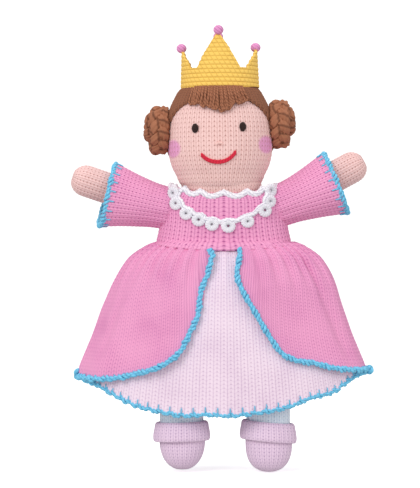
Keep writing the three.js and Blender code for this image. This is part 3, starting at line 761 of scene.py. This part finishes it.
necklaceSpots = [(-40.3, 180.0), (-38.2, 171.6), (-30.0, 163.6), (-20.0, 158.6), (-9.5, 154.8), (3.5, 153.6),
                 (18.8, 157.2), (32.6, 166.2), (36.8, 173.4), (37.4, 182.0)]


def bodiceFront(x, z, lift):
    level = min(z, bodice["neck"])
    share = min(abs(x) / float(bodiceWidth(level)), 0.999)
    c = share ** (1 / bodice["corners"])
    return -float(bodiceDepth(level)) * (math.sqrt(max(1 - c * c, 0)) ** bodice["corners"]) - lift


rings = []
for i, (x, z) in enumerate(necklaceSpots):
    spot = Vector((x * mm, bodiceFront(x * mm, z * mm, 1.5 * mm), z * mm))
    ahead = Vector(((x + 1.5) * mm, bodiceFront((x + 1.5) * mm, z * mm, 1.5 * mm), z * mm)) - spot
    turn = math.atan2(ahead.y, ahead.x)
    major, minor = (3.2 + 0.3 * math.sin(3 * i)) * mm, 2.5 * mm

    def ringPlace(u, v, spot=spot, turn=turn, major=major, minor=minor):
        a, b = tau * u, tau * v
        wrap = 1 + 0.09 * np.cos(14 * a + b)
        r = major + minor * wrap * np.cos(b)
        px, pz, py = r * np.cos(a), r * np.sin(a) * 0.94, minor * 0.72 * wrap * np.sin(b)
        return (spot.x + px * math.cos(turn) - py * math.sin(turn),
                spot.y + px * math.sin(turn) + py * math.cos(turn), spot.z + pz)
    rings.append(gridPiece("picot" + str(i), 70, 14, ringPlace, (14, 1)))
chain = []
for i in range(len(necklaceSpots) - 1):
    (x0, z0), (x1, z1) = necklaceSpots[i], necklaceSpots[i + 1]
    for t in np.linspace(0, 1, 5)[:-1]:
        x, z = lerp(x0, x1, t), lerp(z0, z1, t)
        inward = Vector((-x, 0, 186 - z)).normalized()
        reach = 3.6 + 1.1 * math.cos(tau * t)
        x, z = x + inward.x * reach, z + inward.z * reach
        chain.append((x * mm, bodiceFront(x * mm, z * mm, 1.5 * mm), z * mm))
chainPiece = chainEdging("necklace_chain", np.array(chain), False, 1.3 * mm, 5 * mm, 0.9 * mm)
necklace = joinPieces("lace_picot_necklace", [chainPiece, *rings])
finishPiece(necklace, laceCrochet, "torso", ["lace_necklace"])
print("bodice and lace done")


arms = {
    "right": {"sign": -1, "tilt": math.radians(12), "hand": math.radians(19), "reach": 78 * mm, "skew": 4.5 * mm},
    "left": {"sign": 1, "tilt": math.radians(21.5), "hand": math.radians(28.5), "reach": 74 * mm, "skew": 1.0 * mm},
}
sleeve = {"wales": 36, "rows": 18, "relief": 0.55 * mm, "wall": 2.0 * mm, "start": -9.5 * mm, "root": 16.8 * mm,
          "length": 45 * mm}
hand = {"wales": 19, "rows": 20, "relief": 0.5 * mm, "wall": 2.0 * mm, "radius": 12.3 * mm, "wrist": 11.2 * mm,
        "start": 26 * mm, "flat": 0.98}
seamRing = {"inward": 7.8 * mm, "radius": 15.9 * mm}
sleeveRadius = curveInMm([0, 8, 18, 28, 38, 46], [16.8, 17.6, 19.4, 21.6, 24.2, 26.0])


def alongArm(shoulder, sign, tilt, radial, angle, along):
    # angle 0 is upwards, a quarter turn is forwards
    ax, az = sign * math.cos(tilt), math.sin(tilt)
    ux, uz = -sign * math.sin(tilt), math.cos(tilt)
    return np.broadcast_arrays(shoulder.x + ax * along + ux * radial * np.cos(angle),
                               shoulder.y - sign * radial * np.sin(angle),
                               shoulder.z + az * along + uz * radial * np.cos(angle))


for side, arm in arms.items():
    shoulder, sign, tilt = shoulders[side], arm["sign"], arm["tilt"]

    def sleevePlace(u, v):
        angle = tau * u
        along = lerp(sleeve["start"], sleeve["length"], v)
        ball = np.sqrt(np.maximum(sleeve["root"] ** 2 - np.minimum(along, 0) ** 2, 0))
        flared = sleeveRadius(np.maximum(along, 0))
        pleat = 0.35 * mm * np.cos(11 * angle) * np.exp(-(along / (12 * mm)) ** 2)
        droop = 0.9 * mm * np.cos(3 * angle + 0.6) * fade(along / sleeve["length"])
        radial = np.where(along < 0, ball, flared) + pleat + droop
        behind = np.clip(np.sin(-sign * angle - 0.7), 0, 1)  # the far lower edge of the cuff hangs out a little
        return alongArm(shoulder, sign, tilt, radial, angle, along + arm["skew"] * behind * fade(v) ** 2)

    cloth = knitPiece(side + "_sleeve_cloth", sleeve, sleevePlace)
    finishPiece(cloth, pinkKnit, side + "_arm", [side + "_sleeve"])

    cuff = np.stack(sleevePlace(np.linspace(0, 1, 61)[:-1], np.full(60, 1.0)), 1)
    middle = cuff.mean(0)
    cuff = middle + (cuff - middle) * (1 - 1.0 * mm / sleeve["length"] * 1.4)
    edge = chainEdging(side + "_sleeve_chain", cuff, True, 1.2 * mm, wander=0.4 * mm)
    bites = []
    for i in range(20):
        u = (i + 0.5) / 20
        level = np.linspace(1, 0.88, 6)
        spot = np.stack(sleevePlace(np.full(6, u), level), 1)
        axis = np.stack(alongArm(shoulder, sign, tilt, 0, 0, lerp(sleeve["start"], sleeve["length"], level)), 1)
        away = spot - axis
        away /= np.linalg.norm(away, axis=1, keepdims=True)
        bites.append(yarnTube(side + "_bite" + str(i), spot + away * 0.75 * mm, 0.6 * mm, 6))
    edge = joinPieces(side + "_sleeve_crochet_edging", [edge, *bites])
    finishPiece(edge, blueCrochet, side + "_arm", [side + "_sleeve_edging"])

    # whipped seam round the armhole, upright as the bodice is
    ring = [(shoulder.x - sign * seamRing["inward"], shoulder.y - seamRing["radius"] * math.sin(a),
             shoulder.z + seamRing["radius"] * math.cos(a)) for a in np.linspace(0, tau, 40, endpoint=False)]
    seam = chainEdging(side + "_armhole_whipped_seam", np.array(ring), True, 0.75 * mm, 3.2 * mm, 0.5 * mm)
    finishPiece(seam, pinkKnit, side + "_shoulder", [side + "_armhole_seam"])

    palm = arm["reach"] - hand["radius"] * hand["flat"]

    def handPlace(u, v):
        # straight tube, then a rounded tip drawn together by its last row
        angle = tau * u
        straight = palm - hand["start"]
        round_ = hand["radius"] * math.pi / 2
        s = v * (straight + round_)
        turn = np.clip((s - straight) / hand["radius"], 0, math.pi / 2)
        along = hand["start"] + np.minimum(s, straight) + hand["radius"] * hand["flat"] * np.sin(turn)
        swell = lerp(hand["wrist"], hand["radius"], fade(s / (0.7 * straight)))
        radial = swell * np.cos(turn) ** 0.85
        pucker = 1 - 0.07 * fade((turn - 0.45) / 0.7) * (0.5 + 0.5 * np.cos(7 * angle))
        drawn = 1.6 * mm * fade((turn - 1.25) / 0.3)
        return alongArm(shoulder, sign, arm["hand"], radial * pucker, angle, along - drawn)

    glove = knitPiece(side + "_stuffed_hand", hand, handPlace)
    finishPiece(glove, handKnit, side + "_arm", [side + "_hand"])
print("arms done")


headShape = {"wales": 60, "rows": 34, "relief": 0.5 * mm, "depth": 0.88}
headProfile = turnedProfile([[11.9, 3], [17, 1.0], [24, -0.8], [29.6, -0.4], [32.8, 3.0], [35.4, 9.0],
                            [38.4, 15], [40.6, 22.5], [41.6, 34], [41.2, 45], [39.9, 54],
                            [37.6, 62], [34.2, 68.6], [29, 73.4], [20, 77], [9.5, 78.7],
                            [0, 79]], 200)
profileShare = np.linspace(0, 1, 200)
headRadiusAt = lambda z: np.interp(z, headProfile[:, 2][8:], headProfile[:, 0][8:])


def headPlace(u, v):
    angle = tau * u - math.pi / 2
    r = np.interp(v, profileShare, headProfile[:, 0])
    z = np.interp(v, profileShare, headProfile[:, 2])
    plump = 1 + 0.006 * np.cos(3 * angle + 1) + 0.004 * np.cos(5 * angle)
    return onHead(r * np.cos(angle) * plump, r * headShape["depth"] * np.sin(angle) * plump, z)


skin = knitPiece("stuffed_head", headShape, headPlace)
finishPiece(skin, skinKnit, "head", ["head"])


neckSize = {"wales": 46, "rows": 6, "finer": (4, 3), "relief": 0.4 * mm, "wall": 1.2 * mm, "top": 192.5 * mm,
            "bottom": 174 * mm, "blendEnd": 190 * mm}


def neckPlace(u, v):
    # knitted gusset that closes the neck behind the collar
    angle = tau * u - math.pi / 2
    z = lerp(neckSize["bottom"], neckSize["top"], v)
    half = lerp(31.4 * mm, 30.5 * mm, v)
    deep = lerp(19.2 * mm, 25.5 * mm, fade(v * 1.1))
    c, s = roundedBox(angle, 0.92)
    return headPose["x"] * v + half * c, deep * s, z


neckCloth = knitPiece("neck_gusset", neckSize, neckPlace)
neckCloth.data.materials.append(skinKnit)
setActive(neckCloth)
bpy.ops.object.shade_smooth()
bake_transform(neckCloth)


def facePoint(x, z, lift):
    # on the front of the head; x, z and lift are in millimetres, in the head's own axes
    r = float(headRadiusAt(z * mm)) / mm
    y = -headShape["depth"] * math.sqrt(max(r * r - x * x, 0.01))
    normal = Vector((x, y / headShape["depth"] ** 2, 0)).normalized()
    return onHead((x + normal.x * lift) * mm, (y + normal.y * lift) * mm, z * mm)


def eyePlace(centre, turn):
    def place(u, v):
        a, b = tau * u, math.pi * (v - 0.5)
        wrap = 1 + 0.05 * np.cos(18 * a)
        px = 2.9 * mm * np.cos(b) * np.cos(a) * wrap
        pz = 3.7 * mm * np.cos(b) * np.sin(a) * wrap
        py = 1.35 * mm * np.sin(b)
        return (centre[0] + px * math.cos(turn) + py * math.sin(turn),
                centre[1] + px * math.sin(turn) - py * math.cos(turn), centre[2] + pz)
    return place


for side, x, z in (("right", -19.2, 44.9), ("left", 17.8, 45.6)):
    centre = facePoint(x, z, 0.9)
    turn = math.atan2(x, 41.5) * 1.05
    eye = gridPiece(side + "_satin_stitch_eye", 54, 12, eyePlace(centre, turn), (1, 5))
    finishPiece(eye, blackYarn, "head", [side + "_eye"])

nosePoints = [(-3.2, 31.0), (-2.2, 32.3), (-0.6, 32.8), (1.2, 32.3), (2.2, 31.1)]
nosePath = smoothPath([facePoint(x, z, 0.8) for x, z in nosePoints], 30)
nose = yarnTube("nose_stitch_yarn", nosePath, 0.85 * mm)
finishPiece(nose, noseYarn, "head", ["nose_stitch"])
mouthPoints = [(-15.0, 24.4), (-12.2, 21.6), (-8.2, 19.2), (-2.8, 18.0), (3.0, 18.6), (7.6, 20.9), (10.6, 23.8),
               (12.2, 26.2)]
mouthPath = smoothPath([facePoint(x, z, 0.9) for x, z in mouthPoints], 70)
mouth = [yarnTube("mouth" + str(k), mouthPath + np.array([0, 0, dz]) * mm, 1.0 * mm, 8, False, 2.4 * mm)
         for k, dz in enumerate((0.65, -0.65))]
mouth = joinPieces("mouth_stitch_yarn", mouth)
finishPiece(mouth, redYarn, "head", ["mouth_stitch"])
print("head done")


capSize = {"wales": 60, "rows": 22, "relief": 0.6 * mm, "wall": 1.6 * mm, "depth": 0.9}
hairline = smoothCurve(np.radians([0, 30, 42, 56, 68, 76, 82, 95, 115, 140, 180]),
                       np.array([70, 69, 65, 60, 53, 46, 38, 28, 20, 16.5, 16]) * mm)
capProfile = turnedProfile([[36.8, 9], [40.8, 17], [43.2, 27], [43.9, 38], [43.2, 48], [41.4, 57],
                            [38.6, 65], [35.6, 71], [33, 75.6], [30.5, 78.2], [25, 79.8], [14, 80.6],
                            [0, 80.8]], 200)
capBySize = np.r_[0, np.cumsum(np.hypot(np.diff(capProfile[:, 0]), np.diff(capProfile[:, 2])))]
capStart = lambda z: np.interp(z, capProfile[:, 2], capBySize)


def capPlace(u, v):
    angle = tau * u - math.pi / 2
    front = np.abs((tau * u + math.pi) % (tau) - math.pi)
    jag = 1.1 * mm * np.abs((u * capSize["wales"]) % 1 - 0.5) * 2
    s = lerp(capStart(hairline(front) + jag * np.where(front < 1.5, 1, 0)), capBySize[-1], v)
    r, z = np.interp(s, capBySize, capProfile[:, 0]), np.interp(s, capBySize, capProfile[:, 2])
    tuck = 1 - 0.03 * fade(1 - v / 0.06)
    return onHead(r * np.cos(angle) * tuck, r * capSize["depth"] * np.sin(angle) * tuck, z)


cap = knitPiece("knitted_hair_cap", capSize, capPlace)
finishPiece(cap, hairKnit, "head", ["hair_cap"])

fringe = {"loops": 24, "strand": 1.05 * mm, "root": 79, "parting": -0.8}
strands = []
for i in range(fringe["loops"]):
    t = i / (fringe["loops"] - 1)
    top = lerp(-19.5, 16.5, t)
    aside = -1.4 if top < fringe["parting"] else 1.4
    fan = (top - fringe["parting"]) * 1.12 + aside + random.uniform(-0.5, 0.5)
    low = 65.5 - 7.5 * math.exp(-((top - 0.5) / 6.5) ** 2) - 2.0 * math.exp(-((top + 12) / 5) ** 2)
    low = low + random.uniform(-1.8, 1.4)
    gap = random.uniform(0.9, 1.3)
    lift = 2.6 + 1.1 * (i % 3) + random.uniform(-0.2, 0.4)
    root, halfFan, halfLow = fringe["root"], lerp(top, fan, 0.5), lerp(fringe["root"], low, 0.5)
    loop = [(top - gap, root), (halfFan - gap, halfLow), (fan - gap, low + 1.2), (fan, low),
            (fan + gap, low + 1.2), (halfFan + gap, halfLow), (top + gap, root)]
    points = []
    for x, z in loop:
        r = float(np.interp(z * mm, capProfile[:, 2], capProfile[:, 0])) / mm
        y = -capSize["depth"] * math.sqrt(max(r * r - x * x, 4.0))
        puff = lift * (0.35 + 0.65 * math.sin(math.pi * min(max((root - z) / (root - low), 0.06), 0.94)))
        points.append(onHead(x * mm, (y - puff + 1.4) * mm, z * mm))
    strands.append(yarnTube("loop" + str(i), smoothPath(points, 46), fringe["strand"], 7))
fringePiece = joinPieces("looped_yarn_fringe", strands)
finishPiece(fringePiece, hairYarn, "head", ["hair_fringe"])

plait = {"strand": 3.9 * mm, "swing": 4.6 * mm, "depth": 1.5 * mm, "turn": 19 * mm, "outer": 14.6 * mm,
         "inner": 2.6 * mm, "rounds": 2.2, "start": math.radians(-60), "points": 420}
for side, sign in (("right", -1), ("left", 1)):
    lo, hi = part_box(side + "_plait_coil")
    middle = (lo + hi) / 2
    t = np.linspace(0, 1, plait["points"])
    angle = plait["start"] + tau * plait["rounds"] * t
    radius = lerp(plait["outer"], plait["inner"], fade(np.clip((t - 0.35) / 0.65, 0, 1)) * 0.999)
    rise = middle.x - sign * 2.4 * mm + lerp(-1.8 * mm, 3.6 * mm, fade((t - 0.28) / 0.55)) * sign
    high = middle.z + (3.0 * mm if sign > 0 else -0.6 * mm)
    centre = np.stack([rise, middle.y + radius * np.cos(angle), high + radius * np.sin(angle)], 1)
    length = pathLength(centre)
    out = np.stack([0 * t, np.cos(angle), np.sin(angle)], 1)
    sideways = np.array([1.0, 0, 0])
    made = []
    for k in range(3):
        phase = (tau * length / plait["turn"] * t + tau * k / 3)[:, None]
        shrink = lerp(0.94, 0.8, t)[:, None]
        sway = sideways * np.sin(phase) * plait["swing"] + out * np.sin(2 * phase) * plait["depth"]
        wave = centre + sway * shrink
        made.append(yarnTube(side + "_plait" + str(k), wave, plait["strand"], 28, False, 6 * mm, 7, 0.13))
    bun = joinPieces(side + "_plaited_bun", made)
    finishPiece(bun, hairYarn, "head", [side + "_plait_coil"])
print("hair done")


crown = {"twist": 0.04, "radius": 31.5 * mm, "base": 78.6 * mm, "tall": 122.5 * mm, "sideTall": 110.5 * mm,
         "valley": 93.5 * mm, "wall": 2.2 * mm, "rowTall": 3.4 * mm, "stitches": 46}


def crownTop(angle):
    # angle from the front; four points with short flat valleys between them
    quarter = np.abs(((angle + math.pi / 4) % (math.pi / 2)) - math.pi / 4)  # 0 at each point
    nearSide = np.abs(np.abs(((angle + math.pi) % (tau)) - math.pi) - math.pi / 2) < math.pi / 4
    peak = np.where(nearSide, crown["sideTall"], crown["tall"])
    reach = np.where(nearSide, math.radians(42), math.radians(33.5))
    curve = np.clip(1 - quarter / reach, 0, 1) ** np.where(nearSide, 0.74, 0.93)
    return crown["valley"] + (peak - crown["valley"]) * curve


def crownPlace(u, v):
    angle = tau * u - crown["twist"]  # 0 at the front
    base = crown["base"] - 1.2 * mm * np.cos(angle) ** 2
    z = lerp(base, crownTop(tau * u), v)
    lean = 1 - 0.05 * (z - crown["base"]) / (40 * mm)
    r = crown["radius"] * lean
    return onHead(r * np.sin(angle) + 0.7 * mm, -r * 0.88 * np.cos(angle), z)


def crochetRelief(u, v):
    # rounded rows of double-crochet stitches, each stitch a small bump
    x, y, z = crownPlace(u, v)
    row = (z - headPose["z"] - crown["base"]) / crown["rowTall"]
    tall = np.sqrt(np.clip(1 - (2 * (row % 1) - 1) ** 2, 0, 1))
    bead = np.abs(np.sin(math.pi * (u * crown["stitches"] + 0.5 * np.floor(row))))
    return 0.75 * mm * tall * (0.7 + 0.3 * bead) - 0.4 * mm


stitches = crown["stitches"]
crownPiece = gridPiece("crocheted_crown", stitches * 6, 66, crownPlace, (stitches, 12), crochetRelief)
crownUv = crownPiece.data.uv_layers.active.data
for loop in crownPiece.data.loops:  # rows run level round the crown, whatever the height of the points
    height = crownPiece.data.vertices[loop.vertex_index].co.z - headPose["z"] - crown["base"]
    crownUv[loop.index].uv = (crownUv[loop.index].uv[0], height / crown["rowTall"])
thicken(crownPiece, crown["wall"])
finishPiece(crownPiece, goldCrochet, "head", ["crown"])

for name in ("front", "back", "right", "left"):
    lo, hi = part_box(name + "_crown_bobble")
    middle, reach = (lo + hi) / 2, 3.9 * mm

    def bobblePlace(u, v):
        a, b = tau * u, math.pi * (v - 0.5)
        wound = 1 + 0.06 * np.cos(9 * a + 5 * np.sin(2 * b)) * np.cos(b)
        return (middle.x + reach * wound * np.cos(b) * np.cos(a), middle.y + reach * wound * np.cos(b) * np.sin(a),
                middle.z - 0.6 * mm + reach * np.sin(b) * 0.97)
    bobble = gridPiece(name + "_yarn_bobble", 54, 20, bobblePlace, (3, 4))
    finishPiece(bobble, orchidYarn, "head", [name + "_crown_bobble"])
print("crown done")


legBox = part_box("right_stocking")
legSize = {"y": 0.5 * (legBox[0].y + legBox[1].y), "ratio": 0.7, "shift": 0.9 * mm}
stockingProfile = turnedProfile([[17.3, 26], [17.3, 14], [17.4, 0], [16.6, -14], [14.8, -24],
                                       [11.2, -31.4], [6, -35.2], [0, -36.2]])
bootProfiles = {
    "right": turnedProfile([[18.2, -8], [18.2, -14], [18.0, -20], [16.9, -26.5], [14.4, -32.4],
                            [10.6, -37.0], [5.6, -39.8], [0, -40.6]]),
    "left": turnedProfile([[18.4, -8], [18.5, -14], [18.5, -20.6], [17.8, -27.6], [15.6, -34.0],
                                 [11.6, -38.8], [6, -41.6], [0, -42.4]]),
}
cuffProfile = turnedProfile([[18.0, -12], [18.2, -3.4], [19.0, -1.8], [20.4, -2.8], [21.5, -7.0],
                            [22.3, -11.6], [22.4, -15.2], [21.6, -17.4], [20.2, -17.8], [19.4, -16.2]])


def legPlace(profile, x, wobble=0.0, slant=0.0):
    share = np.linspace(0, 1, len(profile))

    def place(u, v):
        angle = tau * u - math.pi / 2
        r = np.interp(v, share, profile[:, 0]) * (1 + wobble * np.cos(4 * angle + 0.7))
        px, py = r * np.cos(angle), r * legSize["ratio"] * np.sin(angle)
        return x + px, legSize["y"] + py, np.interp(v, share, profile[:, 2]) + slant * px
    return place


stockingSize = {"wales": 24, "rows": 24, "relief": 0.45 * mm}
bootSize = {"wales": 28, "rows": 15, "relief": 0.5 * mm}
cuffSize = {"wales": 32, "rows": 12, "relief": 0.45 * mm, "wall": 1.4 * mm}
cuffs, legMiddle = {}, {}
for side, slant in (("right", 0.03), ("left", -0.09)):
    lo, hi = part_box(side + "_stocking")
    x = legMiddle[side] = (lo.x + hi.x) / 2
    stockingPlace = legPlace(stockingProfile, x + legSize["shift"])
    stocking = knitPiece(side + "_stuffed_stocking", stockingSize, stockingPlace)
    finishPiece(stocking, stockingKnit, side + "_leg", [side + "_stocking"])
    bootPlace = legPlace(bootProfiles[side], x + 1.4 * mm, 0.008)
    boot = knitPiece(side + "_bootee_cloth", bootSize, bootPlace)
    finishPiece(boot, bootKnit, side + "_leg", [side + "_bootee"])
    cuffPlace = legPlace(cuffProfile, x + legSize["shift"], 0.018, slant)
    band = knitPiece(side + "_turned_cuff", cuffSize, cuffPlace)
    finishPiece(band, bootKnit, side + "_leg", [side + "_bootee_cuff"])
    cuffs[side] = band
print("legs done")


def fibreBody(node, name, body, voxel, rough, within=None):
    # loose polyester filling: the solid's space, remeshed and lightly lumped
    source = frame["nodes"][node]
    copy = source.copy()
    copy.data = source.data.copy()
    bpy.context.scene.collection.objects.link(copy)
    copy.parent = None
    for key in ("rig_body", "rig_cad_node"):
        if key in copy:
            del copy[key]
    copy.name = copy.data.name = name
    setActive(copy)
    editMesh(bpy.ops.mesh.remove_doubles, threshold=weldReach)
    applyModifier(copy, "REMESH", {"mode": "VOXEL", "voxel_size": voxel})
    for vertex in copy.data.vertices:
        wave = math.sin(vertex.co.x * 900) * math.sin(vertex.co.y * 1100 + 1) * math.sin(vertex.co.z * 1000 + 2)
        vertex.co -= vertex.normal * rough * (0.5 + 0.5 * wave)
        if within:
            vertex.co = within(vertex.co)
    finishPiece(copy, fibreFill, body, [node])
    return copy


fibreBody("head_stuffing", "head_fibre_filling", "head", 2.0 * mm, 0.7 * mm)
for side in ("right", "left"):
    handFibre = fibreBody(side + "_hand_stuffing", side + "_hand_fibre_filling", side + "_arm", 1.2 * mm, 0.5 * mm)

    def inStocking(spot, x=legMiddle[side] + legSize["shift"]):
        # keeps the filling just inside the stocking's toe
        z = max(spot.z, stockingProfile[-1, 2] + 1.6 * mm)
        room = max(float(np.interp(-z, -stockingProfile[:, 2], stockingProfile[:, 0])) - 1.2 * mm, 0.4 * mm)
        away = math.hypot(spot.x - x, (spot.y - legSize["y"]) / legSize["ratio"])
        pull = min(1.0, room / max(away, 1e-6))
        return Vector((x + (spot.x - x) * pull, legSize["y"] + (spot.y - legSize["y"]) * pull, z))

    legFibre = fibreBody(side + "_leg_stuffing", side + "_leg_fibre_filling", side + "_leg", 1.5 * mm, 0.5 * mm,
                         inStocking)
tube = frame["nodes"]["head_finger_tube"]
tube.data.materials.clear()
tube.data.materials.append(kraftCard)
print("filling done")


for side in ("right", "left"):
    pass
